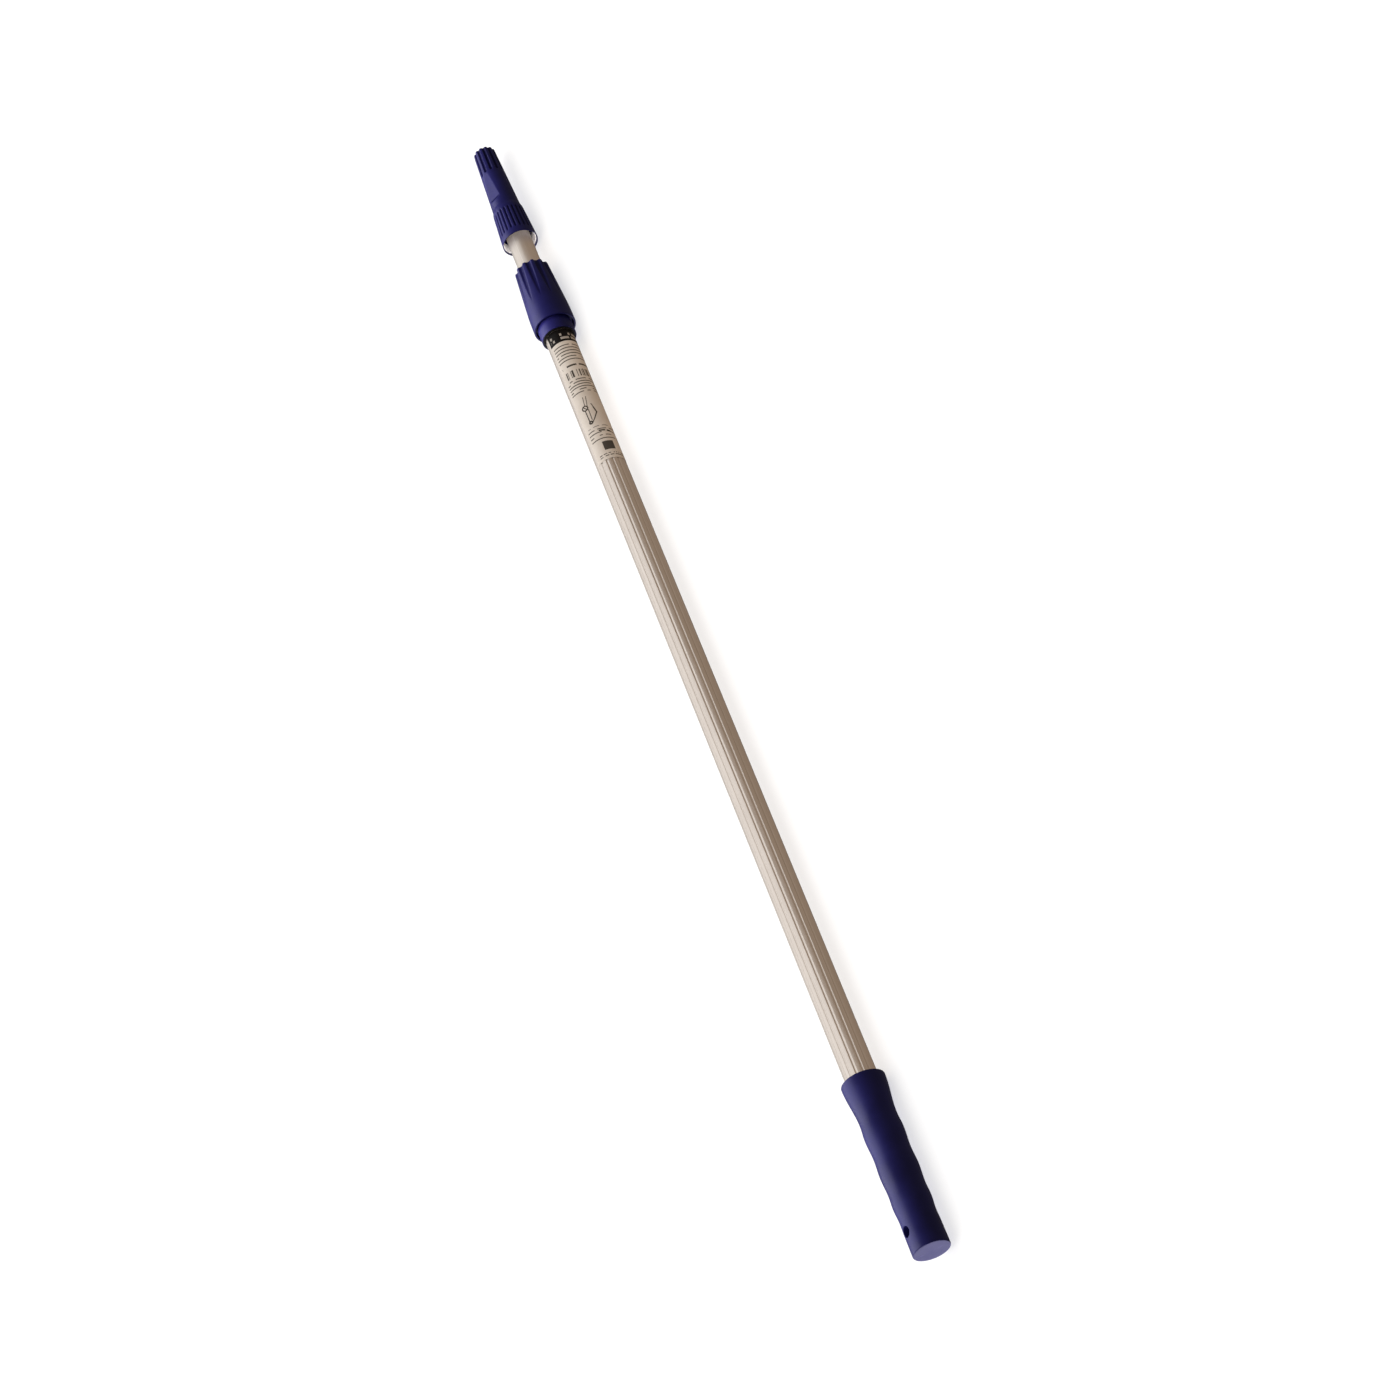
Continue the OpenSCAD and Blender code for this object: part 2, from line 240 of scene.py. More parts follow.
def makeFlatTree():  # flats on a cone, sloping out at each end
    tree, bench, given, result = treeWithSockets(
        "planeFlats", "GeometryNodeTree",
        {"Geometry": "Geometry", "Count": 2, "Phase": 0.0, "Distance": 0.01, "Start": 0.0, "End": 1.0,
         "Blend": 0.0001, "Material": "Material"},
        {"Geometry": "Geometry"})
    split, up, radius, angle = polarParts(bench)
    half = bench.math("DIVIDE", math.pi, given.outputs["Count"])
    offAngle = bench.math("WRAP", bench.math("SUBTRACT", angle, given.outputs["Phase"]), half,
                          bench.math("MULTIPLY", half, -1.0))
    before = bench.math("MAXIMUM", bench.math("SUBTRACT", given.outputs["Start"], split.outputs["X"]), 0.0)
    beyond = bench.math("MAXIMUM", bench.math("SUBTRACT", split.outputs["X"], given.outputs["End"]), 0.0)
    ramp = bench.math("MULTIPLY", bench.math("ADD", before, beyond), 0.9)
    distance = bench.math("ADD", given.outputs["Distance"], ramp)
    lean = bench.math("MAXIMUM", bench.math("COSINE", offAngle), 0.05)
    plane = bench.math("DIVIDE", distance, lean)
    newRadius = bench.math("SMOOTH_MIN", radius, plane, given.outputs["Blend"])
    moved = moveRadially(bench, given, split, up, radius, newRadius)
    endOfTree(bench, moved, given, result)
    return tree


def runTree(piece, tree, material, values):  # leaves a plain mesh
    modifier = piece.modifiers.new(tree.name, "NODES")
    modifier.node_group = tree
    sockets = {s.name: s.identifier for s in tree.interface.items_tree
               if s.item_type == "SOCKET" and s.in_out == "INPUT"}
    for label, value in values.items():
        modifier[sockets[label]] = value
    modifier[sockets["Material"]] = material
    applyModifiers(piece)


def applyModifiers(piece):
    bpy.context.view_layer.update()
    evaluated = piece.evaluated_get(bpy.context.evaluated_depsgraph_get())
    mesh = bpy.data.meshes.new_from_object(evaluated)
    piece.modifiers.clear()
    old = piece.data
    piece.data = mesh
    bpy.data.meshes.remove(old)
    mesh.name = piece.name


def cutFlutes(piece, material, shape, start, end, startFade=0.001, endFade=0.001):  # stations in mm from the butt
    runTree(piece, fluteTree, material, {
        "Count": shape["flutes"], "Phase": math.radians(shape["phase"]), "Depth": shape["depth"] * mm,
        "Cutter Radius": shape["cutter"] * mm, "Start": (start - halfLength) * mm,
        "End": (end - halfLength) * mm, "Start Fade": startFade, "End Fade": endFade})


fluteTree = makeFluteTree()
flatTree = makeFlatTree()
print("geometry trees built")


def spread(bench, value, low, high, fromLow=0.3, fromHigh=0.7):  # noise lies mostly in 0.3 to 0.7
    node = bench.add("ShaderNodeMapRange")
    bench.feed(node.inputs["Value"], value)
    node.inputs["From Min"].default_value = fromLow
    node.inputs["From Max"].default_value = fromHigh
    node.inputs["To Min"].default_value = low
    node.inputs["To Max"].default_value = high
    return node.outputs[0]


def noiseAt(bench, place, scale, detail, roughness=0.5):
    node = bench.add("ShaderNodeTexNoise")
    for label, value in (("Vector", place), ("Scale", scale), ("Detail", detail), ("Roughness", roughness)):
        bench.feed(node.inputs[label], value)
    return node.outputs[0]


def makePolePlace():  # along and round the pole, in mm
    tree, bench, given, result = treeWithSockets(
        "polePlace", "ShaderNodeTree", {"Radius": 12.5}, {"Along": "Float", "Around": "Float"})
    place = bench.add("ShaderNodeTexCoord")
    split = bench.add("ShaderNodeSeparateXYZ")
    bench.feed(split.inputs[0], place.outputs["Object"])
    up = bench.math("SUBTRACT", split.outputs["Z"], axisHeight)
    front = bench.math("MULTIPLY", split.outputs["Y"], -1.0)
    angle = bench.math("WRAP", bench.math("ARCTAN2", front, up), 2 * math.pi, 0.0)
    around = bench.math("MULTIPLY", angle, given.outputs["Radius"])
    along = bench.math("ADD", bench.math("DIVIDE", split.outputs["X"], mm), halfLength)
    bench.feed(result.inputs["Along"], along)
    bench.feed(result.inputs["Around"], around)
    return tree


def makeMouldGrain():  # fine grain and slow clouds
    tree, bench, given, result = treeWithSockets(
        "mouldGrain", "ShaderNodeTree", {"Grain Size": 0.4, "Cloud Size": 20.0},
        {"Height": "Float", "Cloud": "Float"})
    place = bench.add("ShaderNodeTexCoord").outputs["Object"]
    fineScale = bench.math("DIVIDE", 1 / mm, given.outputs["Grain Size"])
    cloudScale = bench.math("DIVIDE", 1 / mm, given.outputs["Cloud Size"])
    bench.feed(result.inputs["Height"], noiseAt(bench, place, fineScale, 3.0))
    bench.feed(result.inputs["Cloud"], noiseAt(bench, place, cloudScale, 4.0, 0.6))
    return tree


def makeWearAndHollowShade():  # convex edges, broken up, for wear; concave hollows for painted shade
    tree, bench, given, result = treeWithSockets(
        "wearAndHollowShade", "ShaderNodeTree", {"Amount": 0.5, "Patch Size": 6.0}, {"Mask": "Float", "Hollow Shade": "Float"})
    pointiness = bench.add("ShaderNodeNewGeometry").outputs["Pointiness"]
    place = bench.add("ShaderNodeTexCoord").outputs["Object"]
    patches = noiseAt(bench, place, bench.math("DIVIDE", 1 / mm, given.outputs["Patch Size"]), 5.0)
    both = bench.math("MULTIPLY", spread(bench, pointiness, 0.0, 1.0, 0.515, 0.6),
                      spread(bench, patches, 0.0, 1.0, 0.38, 0.62))
    bench.feed(result.inputs["Mask"], bench.math("MULTIPLY", both, given.outputs["Amount"]))
    # painted shade: concave hollows such as flute valleys come out as 1, so they can be darkened
    bench.feed(result.inputs["Hollow Shade"], spread(bench, pointiness, 0.0, 1.0, 0.499, 0.487))
    return tree


def makeHairlines():  # fine lines along the pole
    tree, bench, given, result = treeWithSockets(
        "hairlines", "ShaderNodeTree", {"Line Width": 0.15, "Line Length": 60.0},
        {"Lines": "Float", "Scratches": "Float"})
    place = bench.add("ShaderNodeTexCoord")
    stretch = bench.add("ShaderNodeMapping", vector_type="POINT")
    bench.feed(stretch.inputs["Vector"], place.outputs["Object"])
    sizes = bench.add("ShaderNodeCombineXYZ")
    bench.feed(sizes.inputs["X"], bench.math("DIVIDE", 1 / mm, given.outputs["Line Length"]))
    across = bench.math("DIVIDE", 1 / mm, given.outputs["Line Width"])
    bench.feed(sizes.inputs["Y"], across)
    bench.feed(sizes.inputs["Z"], across)
    bench.feed(stretch.inputs["Scale"], sizes.outputs[0])
    marks = noiseAt(bench, stretch.outputs[0], 0.21, 1.0)
    bench.feed(result.inputs["Lines"], noiseAt(bench, stretch.outputs[0], 0.5, 2.0))
    bench.feed(result.inputs["Scratches"], spread(bench, marks, 0.0, 1.0, 0.68, 0.74))
    return tree


def makeInkRows():  # broken dashes that spell nothing
    tree, bench, given, result = treeWithSockets(
        "inkRows", "ShaderNodeTree",
        {"Along": 0.0, "Around": 0.0, "From": 0.0, "To": 1.0, "Left": 0.0, "Right": 1.0, "Row Pitch": 2.0,
         "Ink Share": 0.5, "Dash Length": 2.0, "Dash Share": 0.6, "Seed": 0.0},
        {"Ink": "Float"})
    g = given.outputs
    row = bench.math("DIVIDE", bench.math("SUBTRACT", g["Along"], g["From"]), g["Row Pitch"])
    inRow = bench.math("LESS_THAN", bench.math("FRACT", row), g["Ink Share"])
    rowNumber = bench.math("ADD", bench.math("MULTIPLY", bench.math("FLOOR", row), 7.31), g["Seed"])
    dash = bench.add("ShaderNodeTexWhiteNoise", noise_dimensions="2D")
    cell = bench.add("ShaderNodeCombineXYZ")
    bench.feed(cell.inputs["X"], bench.math("FLOOR", bench.math("DIVIDE", g["Around"], g["Dash Length"])))
    bench.feed(cell.inputs["Y"], rowNumber)
    bench.feed(dash.inputs["Vector"], cell.outputs[0])
    inDash = bench.math("LESS_THAN", dash.outputs["Value"], g["Dash Share"])
    inside = bench.math("MULTIPLY", bench.math("GREATER_THAN", g["Along"], g["From"]),
                        bench.math("LESS_THAN", g["Along"], g["To"]))
    within = bench.math("MULTIPLY", bench.math("GREATER_THAN", g["Around"], g["Left"]),
                        bench.math("LESS_THAN", g["Around"], g["Right"]))
    mask = bench.math("MULTIPLY", bench.math("MULTIPLY", inRow, inDash), bench.math("MULTIPLY", inside, within))
    bench.feed(result.inputs["Ink"], mask)
    return tree


def makeInkRing():
    tree, bench, given, result = treeWithSockets(
        "inkRing", "ShaderNodeTree",
        {"Along": 0.0, "Around": 0.0, "From": 0.0, "Side": 0.0, "Size": 2.0, "Width": 0.5}, {"Ink": "Float"})
    g = given.outputs
    a = bench.math("SUBTRACT", g["Along"], g["From"])
    b = bench.math("SUBTRACT", g["Around"], g["Side"])
    away = bench.math("SQRT", bench.math("ADD", bench.math("MULTIPLY", a, a), bench.math("MULTIPLY", b, b)))
    off = bench.math("ABSOLUTE", bench.math("SUBTRACT", away, g["Size"]))
    half = bench.math("MULTIPLY", g["Width"], 0.5)
    bench.feed(result.inputs["Ink"], bench.math("LESS_THAN", off, half))
    return tree


def makeInkStroke():  # round at both ends
    tree, bench, given, result = treeWithSockets(
        "inkStroke", "ShaderNodeTree",
        {"Along": 0.0, "Around": 0.0, "Start": "Vector", "End": "Vector", "Width": 0.5}, {"Ink": "Float"})
    g = given.outputs

    def vector(operation, *values):
        node = bench.add("ShaderNodeVectorMath", operation=operation)
        for socket, value in zip(node.inputs, values):
            bench.feed(socket, value)
        return node.outputs["Value"] if operation in ("DOT_PRODUCT", "LENGTH") else node.outputs["Vector"]

    point = bench.add("ShaderNodeCombineXYZ")
    bench.feed(point.inputs["X"], g["Along"])
    bench.feed(point.inputs["Y"], g["Around"])
    reach = vector("SUBTRACT", g["End"], g["Start"])
    offset = vector("SUBTRACT", point.outputs[0], g["Start"])
    share = bench.math("DIVIDE", vector("DOT_PRODUCT", offset, reach), vector("DOT_PRODUCT", reach, reach))
    held = bench.math("MINIMUM", bench.math("MAXIMUM", share, 0.0), 1.0)
    nearest = bench.add("ShaderNodeVectorMath", operation="SCALE")
    bench.feed(nearest.inputs["Vector"], reach)
    bench.feed(nearest.inputs["Scale"], held)
    away = vector("LENGTH", vector("SUBTRACT", offset, nearest.outputs["Vector"]))
    half = bench.math("MULTIPLY", g["Width"], 0.5)
    bench.feed(result.inputs["Ink"], bench.math("LESS_THAN", away, half))
    return tree


polePlace = makePolePlace()
mouldGrain = makeMouldGrain()
wearAndHollowShade = makeWearAndHollowShade()
hairlines = makeHairlines()
inkRows = makeInkRows()
inkRing = makeInkRing()
inkStroke = makeInkStroke()


def newMaterial(name):
    material = bpy.data.materials.new(name)
    material.use_nodes = True
    bench = NodeBench(material.node_tree)
    return material, bench, material.node_tree.nodes["Principled BSDF"]


def useGroup(bench, tree, **values):
    node = bench.add("ShaderNodeGroup")
    node.node_tree = tree
    for label, value in values.items():
        bench.feed(node.inputs[label.replace("_", " ")], value)
    return node


def mixColours(bench, amount, first, second):
    node = bench.add("ShaderNodeMix", data_type="RGBA")
    bench.feed(node.inputs["Factor"], amount)
    bench.feed(node.inputs["A"], first)
    bench.feed(node.inputs["B"], second)
    return node.outputs["Result"]


def bumpFrom(bench, shader, height, strength, distance):
    bump = bench.add("ShaderNodeBump")
    bump.inputs["Strength"].default_value = strength
    bump.inputs["Distance"].default_value = distance * mm
    bench.feed(bump.inputs["Height"], height)
    bench.feed(shader.inputs["Normal"], bump.outputs[0])


def mouldedPlastic(name, look):  # satin moulding, with painted shade darkening its hollows
    material, bench, shader = newMaterial(name)
    grain = useGroup(bench, mouldGrain, Grain_Size=look["grain"], Cloud_Size=look["cloud"])
    edges = useGroup(bench, wearAndHollowShade, Amount=look["rub"], Patch_Size=7.0)
    cloudy = mixColours(bench, spread(bench, grain.outputs["Cloud"], 0.0, 1.0), look["dark"], look["light"])
    worn = mixColours(bench, edges.outputs["Mask"], cloudy, look["worn"])
    # painted shade: concave hollows such as flute valleys are mixed towards a dark colour, and their specular is cut
    # to a quarter
    hollowShadeAmount = bench.math("MULTIPLY", edges.outputs["Hollow Shade"], 0.85)
    bench.feed(shader.inputs["Base Color"], mixColours(bench, hollowShadeAmount, worn, look["paintedHollowShade"]))
    bench.feed(shader.inputs["Roughness"], spread(bench, grain.outputs["Cloud"], *look["roughness"]))
    shine = spread(bench, edges.outputs["Hollow Shade"], look["specular"], look["specular"] * 0.25, 0.0, 1.0)
    bench.feed(shader.inputs["Specular IOR Level"], shine)
    bumpFrom(bench, shader, grain.outputs["Height"], look["bump"], 0.05)
    return material


def drawnTube(name, look):  # anodised extrusion
    material, bench, shader = newMaterial(name)
    lines = useGroup(bench, hairlines, Line_Width=look["line"], Line_Length=look["run"])
    grain = useGroup(bench, mouldGrain, Grain_Size=0.5, Cloud_Size=35.0)
    tone = mixColours(bench, spread(bench, lines.outputs["Lines"], 0.0, 1.0), look["dark"], look["light"])
    marked = mixColours(bench, bench.math("MULTIPLY", lines.outputs["Scratches"], 0.35), tone, look["mark"])
    bench.feed(shader.inputs["Base Color"], marked)
    shader.inputs["Metallic"].default_value = 1.0
    soft = spread(bench, grain.outputs["Cloud"], *look["roughness"])
    streak = spread(bench, lines.outputs["Lines"], -0.03, 0.03)
    bench.feed(shader.inputs["Roughness"], bench.math("ADD", soft, streak))
    bumpFrom(bench, shader, lines.outputs["Lines"], look["bump"], 0.02)
    return material


# in each plastic below, the darkest colour is painted shade, laid into its hollows
bluePlastic = mouldedPlastic("bluePlastic", {
    "dark": (0.014, 0.0135, 0.135, 1), "light": (0.026, 0.025, 0.21, 1), "worn": (0.06, 0.056, 0.38, 1),
    "paintedHollowShade": (0.005, 0.0045, 0.062, 1), "roughness": (0.4, 0.5), "specular": 0.42,
    "grain": 0.35, "cloud": 26.0, "rub": 0.7, "bump": 0.1})
blackRubber = mouldedPlastic("blackRubber", {
    "dark": (0.008, 0.008, 0.009, 1), "light": (0.016, 0.016, 0.017, 1), "worn": (0.05, 0.05, 0.05, 1),
    "paintedHollowShade": (0.003, 0.003, 0.003, 1), "roughness": (0.6, 0.75), "specular": 0.35,
    "grain": 0.25, "cloud": 8.0, "rub": 0.3, "bump": 0.2})
whitePlastic = mouldedPlastic("whitePlastic", {
    "dark": (0.74, 0.71, 0.7, 1), "light": (0.86, 0.84, 0.83, 1), "worn": (0.9, 0.9, 0.9, 1),
    "paintedHollowShade": (0.5, 0.47, 0.45, 1), "roughness": (0.35, 0.5), "specular": 0.5,
    "grain": 0.3, "cloud": 9.0, "rub": 0.1, "bump": 0.08})
naturalNylon = mouldedPlastic("naturalNylon", {
    "dark": (0.66, 0.63, 0.53, 1), "light": (0.78, 0.75, 0.65, 1), "worn": (0.82, 0.8, 0.72, 1),
    "paintedHollowShade": (0.4, 0.37, 0.3, 1), "roughness": (0.32, 0.46), "specular": 0.5,
    "grain": 0.3, "cloud": 9.0, "rub": 0.2, "bump": 0.08})
greyPlastic = mouldedPlastic("greyPlastic", {
    "dark": (0.03, 0.03, 0.033, 1), "light": (0.05, 0.05, 0.054, 1), "worn": (0.12, 0.12, 0.12, 1),
    "paintedHollowShade": (0.012, 0.012, 0.013, 1), "roughness": (0.45, 0.6), "specular": 0.5,
    "grain": 0.35, "cloud": 12.0, "rub": 0.3, "bump": 0.15})
outerMetal = drawnTube("outerMetal", {
    "dark": (0.55, 0.505, 0.46, 1), "light": (0.63, 0.58, 0.535, 1), "mark": (0.8, 0.77, 0.74, 1),
    "line": 0.16, "run": 70.0, "roughness": (0.42, 0.5), "bump": 0.12})
innerMetal = drawnTube("innerMetal", {
    "dark": (0.57, 0.53, 0.485, 1), "light": (0.65, 0.605, 0.56, 1), "mark": (0.82, 0.79, 0.76, 1),
    "line": 0.12, "run": 90.0, "roughness": (0.46, 0.54), "bump": 0.08})
pinSteel = drawnTube("pinSteel", {
    "dark": (0.42, 0.42, 0.42, 1), "light": (0.56, 0.56, 0.56, 1), "mark": (0.7, 0.7, 0.7, 1),
    "line": 0.08, "run": 3.0, "roughness": (0.25, 0.35), "bump": 0.1})
print("materials built")

outerTube = {"turns": 360, "flutes": 15, "phase": 1.0, "depth": 0.45, "cutter": 1.3, "edge": 0.35, "bore": 11.3}
x0, x1, r = station("outer_tube", 0), station("outer_tube", 1), radiusOf("outer_tube")
tubeOutline = softCorners([(x0, r, outerTube["edge"]), (x1, r, outerTube["edge"]),
                           (x1, outerTube["bore"], 0.2), (x0, outerTube["bore"], 0.2)])
tube = turnedPiece("outerTube", tubeOutline, outerTube["turns"], lambda x, r: r > outerTube["bore"] + 0.5)
cutFlutes(tube, outerMetal, outerTube, x0 - pastEnd, x1 + pastEnd)
finishPiece(tube, outerMetal, "handle", "tube_aluminium", "outer_tube")

innerTube = {"turns": 160, "edge": 0.3, "bore": 9.7}
x0, x1, r = station("inner_tube", 0), station("inner_tube", 1), radiusOf("inner_tube")
slim = turnedPiece("innerTube", softCorners([
    (x0, r, innerTube["edge"]), (x1, r, innerTube["edge"]),
    (x1, innerTube["bore"], 0.2), (x0, innerTube["bore"], 0.2)]), innerTube["turns"])
finishPiece(slim, innerMetal, "inner", "tube_aluminium", "inner_tube")

gripShape = {
    "turns": 180, "step": 0.9, "buttRound": 1.5, "topRound": 0.8, "tubeGap": 0.02,
    "waves": [(0, 14.4), (18, 14.3), (27.5, 14.0), (40, 14.7), (50.5, 14.25), (66, 14.95),
              (80.5, 14.3), (97, 15.1), (109.5, 14.4), (142, 17.05)],
    "core": 0.3, "holeAt": 17.3, "holeRadius": 4.0, "holeFlare": 0.7, "holeSides": 64}


def waveRadius(x, waves):  # eased between waists and bulges
    for (xa, ra), (xb, rb) in zip(waves, waves[1:]):
        if x <= xb:
            t = (x - xa) / (xb - xa)
            return ra + (rb - ra) * (1 - math.cos(math.pi * t)) / 2
    return waves[-1][1]


def makeGrip(shape):
    length = shape["waves"][-1][0]
    sideStart, sideEnd = shape["buttRound"] * 1.2, length - shape["topRound"] * 1.2
    count = int((sideEnd - sideStart) / shape["step"])
    side = [(sideStart + (sideEnd - sideStart) * k / count) for k in range(count + 1)]
    tubeStart = station("outer_tube", 0)
    seat = radiusOf("outer_tube") + shape["tubeGap"]
    corners = [(0, shape["core"], 0), (0, shape["waves"][0][1], shape["buttRound"])]
    corners += [(x, waveRadius(x, shape["waves"]), 0) for x in side]
    corners += [(length, shape["waves"][-1][1], shape["topRound"]), (length, seat, 0.3),
                (tubeStart, seat, 0), (tubeStart, shape["core"], 0)]
    grip = turnedPiece("grip", fineSteps(softCorners(corners), 3.0, high=3), shape["turns"])
    bm = bmesh.new()
    bm.from_mesh(grip.data)
    for x in (0, tubeStart):  # closes the small hole left at the axis on both end faces
        spot = (x - halfLength) * mm
        ring = [v for v in bm.verts if abs(v.co.x - spot) < 1e-6
                and math.hypot(v.co.y, v.co.z - axisHeight) < (shape["core"] + 0.01) * mm]
        bmesh.ops.pointmerge(bm, verts=ring, merge_co=Vector((spot, 0, axisHeight)))
    loose = [f for f in bm.faces if f.calc_area() < 1e-12]
    bmesh.ops.delete(bm, geom=loose, context="FACES")
    bmesh.ops.dissolve_degenerate(bm, edges=bm.edges, dist=1e-7)
    bmesh.ops.recalc_face_normals(bm, faces=bm.faces)
    bm.to_mesh(grip.data)
    bm.free()
    return grip


def hangHoleCutter(shape):  # along Z, mouths flared
    bm = bmesh.new()
    r, flare, sides = shape["holeRadius"], shape["holeFlare"], shape["holeSides"]
    top = waveRadius(shape["holeAt"], shape["waves"])
    profile = [(-top - 3, r + flare + 2.5), (-top + 0.35, r + 0.25), (-top + 1.1, r)]
    profile += [(-z, w) for z, w in reversed(profile)]
    rings = []
    for z, w in profile:
        rings.append([bm.verts.new(((shape["holeAt"] - halfLength + w * math.cos(a)) * mm,
                                    w * math.sin(a) * mm, axisHeight + z * mm))
                      for a in (2 * math.pi * k / sides for k in range(sides))])
    for a, b in zip(rings, rings[1:]):
        for k in range(sides):
            bm.faces.new((a[k], a[(k + 1) % sides], b[(k + 1) % sides], b[k]))
    bm.faces.new(rings[0])
    bm.faces.new(rings[-1])
    bmesh.ops.recalc_face_normals(bm, faces=bm.faces)
    mesh = bpy.data.meshes.new("holeCutter")
    bm.to_mesh(mesh)
    bm.free()
    cutter = bpy.data.objects.new("holeCutter", mesh)
    scene.collection.objects.link(cutter)
    return cutter


gripPiece = makeGrip(gripShape)
cutter = hangHoleCutter(gripShape)
boolean = gripPiece.modifiers.new("hangHole", "BOOLEAN")
boolean.operation = "DIFFERENCE"
boolean.solver = "EXACT"
boolean.object = cutter
applyModifiers(gripPiece)
bpy.data.objects.remove(cutter)
gripPiece.data.shade_smooth()
gripPiece.data.set_sharp_from_angle(angle=math.radians(34))
finishPiece(gripPiece, bluePlastic, "handle", "blue_plastic", "grip")

lockNut = {"turns": 288, "step": 1.0, "flutes": 12, "phase": 25.3, "depth": 1.8, "cutter": 3.2, "fluteLength": 46,
           "bottomRound": 1.5, "topRound": 0.8, "topRadius": 15.45, "taperLength": 54, "mouth": 17.2,
           "mouthDepth": 4.4, "land": 14.65, "pocket": 13.45, "pocketStart": 24, "pocketSlope": 2, "hole": 11.3,
           "holeLength": 5}
x0, x1, r = station("lock_nut", 0), station("lock_nut", 1), radiusOf("lock_nut")
holeStart, landEnd, mouthEnd = x1 - lockNut["holeLength"], x1 - lockNut["pocketStart"], x0 + lockNut["mouthDepth"]
nutOutline = softCorners([
    (x0, r, lockNut["bottomRound"]), (x1 - lockNut["taperLength"], r - 0.05, 8),
    (x1, lockNut["topRadius"], lockNut["topRound"]), (x1, lockNut["hole"], 0.4), (holeStart, lockNut["hole"], 0),
    (holeStart, lockNut["pocket"], 0), (landEnd + lockNut["pocketSlope"], lockNut["pocket"], 0),
    (landEnd, lockNut["land"], 0), (mouthEnd, lockNut["land"], 0.2), (mouthEnd, lockNut["mouth"], 0.6),
    (x0, lockNut["mouth"], 0.2)], steps=9)
nut = turnedPiece("lockNut", fineSteps(nutOutline, lockNut["step"]), lockNut["turns"],
                  lambda x, r: r > (lockNut["land"] + 0.1 if x < landEnd else lockNut["pocket"] + 0.3))
cutFlutes(nut, bluePlastic, lockNut, x1 - lockNut["fluteLength"], x1 + pastEnd, startFade=lockNut["fluteLength"] * mm)
finishPiece(nut, bluePlastic, "nut", "blue_plastic", "lock_nut")

neck = {"turns": 160, "neckLength": 13.9, "shoulder": 0.5, "thread": 14.6, "threadEnd": 33.2, "upper": 13.9,
        "upperStart": 33.9, "counterbore": 14.55, "counterboreDepth": 5}
x0, x1, r = station("lock_base", 0), station("lock_base", 1), radiusOf("lock_base")
seat = radiusOf("outer_tube") + 0.02
neckEnd, boreStart = x0 + neck["neckLength"], x0 + neck["counterboreDepth"]
base = turnedPiece("lockBase", softCorners([
    (x0, r, 0.45), (neckEnd, r, 0.5), (neckEnd + neck["shoulder"], neck["thread"], 0.2),
    (x0 + neck["threadEnd"], neck["thread"], 0.3), (x0 + neck["upperStart"], neck["upper"], 0.2),
    (x1, neck["upper"], 0.4), (x1, seat, 0.2), (boreStart, seat, 0), (boreStart, neck["counterbore"], 0),
    (x0, neck["counterbore"], 0.2)]), neck["turns"])
finishPiece(base, bluePlastic, "handle", "blue_plastic", "lock_base")

seal = {"turns": 128, "lip": 0.35, "leadIn": 1.2}
x0, x1, r = station("neck_seal", 0), station("neck_seal", 1), radiusOf("neck_seal")
sealPiece = turnedPiece("neckSeal", softCorners([
    (x0, r, seal["lip"]), (x1, r, 0.2), (x1, seat, 0), (x0 + seal["leadIn"], seat, 0.2),
    (x0, seat + 0.5, seal["lip"])]), seal["turns"])
finishPiece(sealPiece, blackRubber, "handle", "black_rubber", "neck_seal")
print("lock built")

spigotShape = {"turns": 288, "step": 0.8, "flutes": 12, "phase": 2.3, "depth": 1.1, "cutter": 1.55,
               "fluteLength": 31, "endRadius": 9.8, "coneLength": 74, "endRound": 1.4, "bore": 10.72,
               "tubeDepth": 48, "recess": 5.5, "recessDepth": 20, "flats": 2, "flatAngle": 24,
               "flatDistance": 10.9, "flatStart": 9.5}
x0, x1, r = station("spigot", 0), station("spigot", 1), radiusOf("spigot")
coneStart = x1 - spigotShape["coneLength"]
splineStart = x1 - spigotShape["fluteLength"]
tubeEnd, recessEnd = x0 + spigotShape["tubeDepth"], x1 - spigotShape["recessDepth"]
spigotOutline = softCorners([
    (x0, r, 0.2), (coneStart, r, 2.0), (x1, spigotShape["endRadius"], spigotShape["endRound"]),
    (x1, spigotShape["recess"], 0.5), (recessEnd, spigotShape["recess"], 0.5), (recessEnd, 0.2, 0),
    (tubeEnd, 0.2, 0), (tubeEnd, spigotShape["bore"], 0), (x0, spigotShape["bore"], 0.2)])
tipPiece = turnedPiece("tipSpigot", fineSteps(spigotOutline, spigotShape["step"], low=coneStart),
                       spigotShape["turns"], lambda x, r: r > 8 and x > coneStart)
cutFlutes(tipPiece, bluePlastic, spigotShape, splineStart, x1 + pastEnd, startFade=0.0016)
runTree(tipPiece, flatTree, bluePlastic, {
    "Count": spigotShape["flats"], "Phase": math.radians(spigotShape["flatAngle"]),
    "Distance": spigotShape["flatDistance"] * mm,
    "Start": (coneStart + spigotShape["flatStart"] - halfLength) * mm,
    "End": (splineStart - 0.5 - halfLength) * mm, "Blend": 0.0003})
finishPiece(tipPiece, bluePlastic, "inner", "blue_plastic", "spigot")

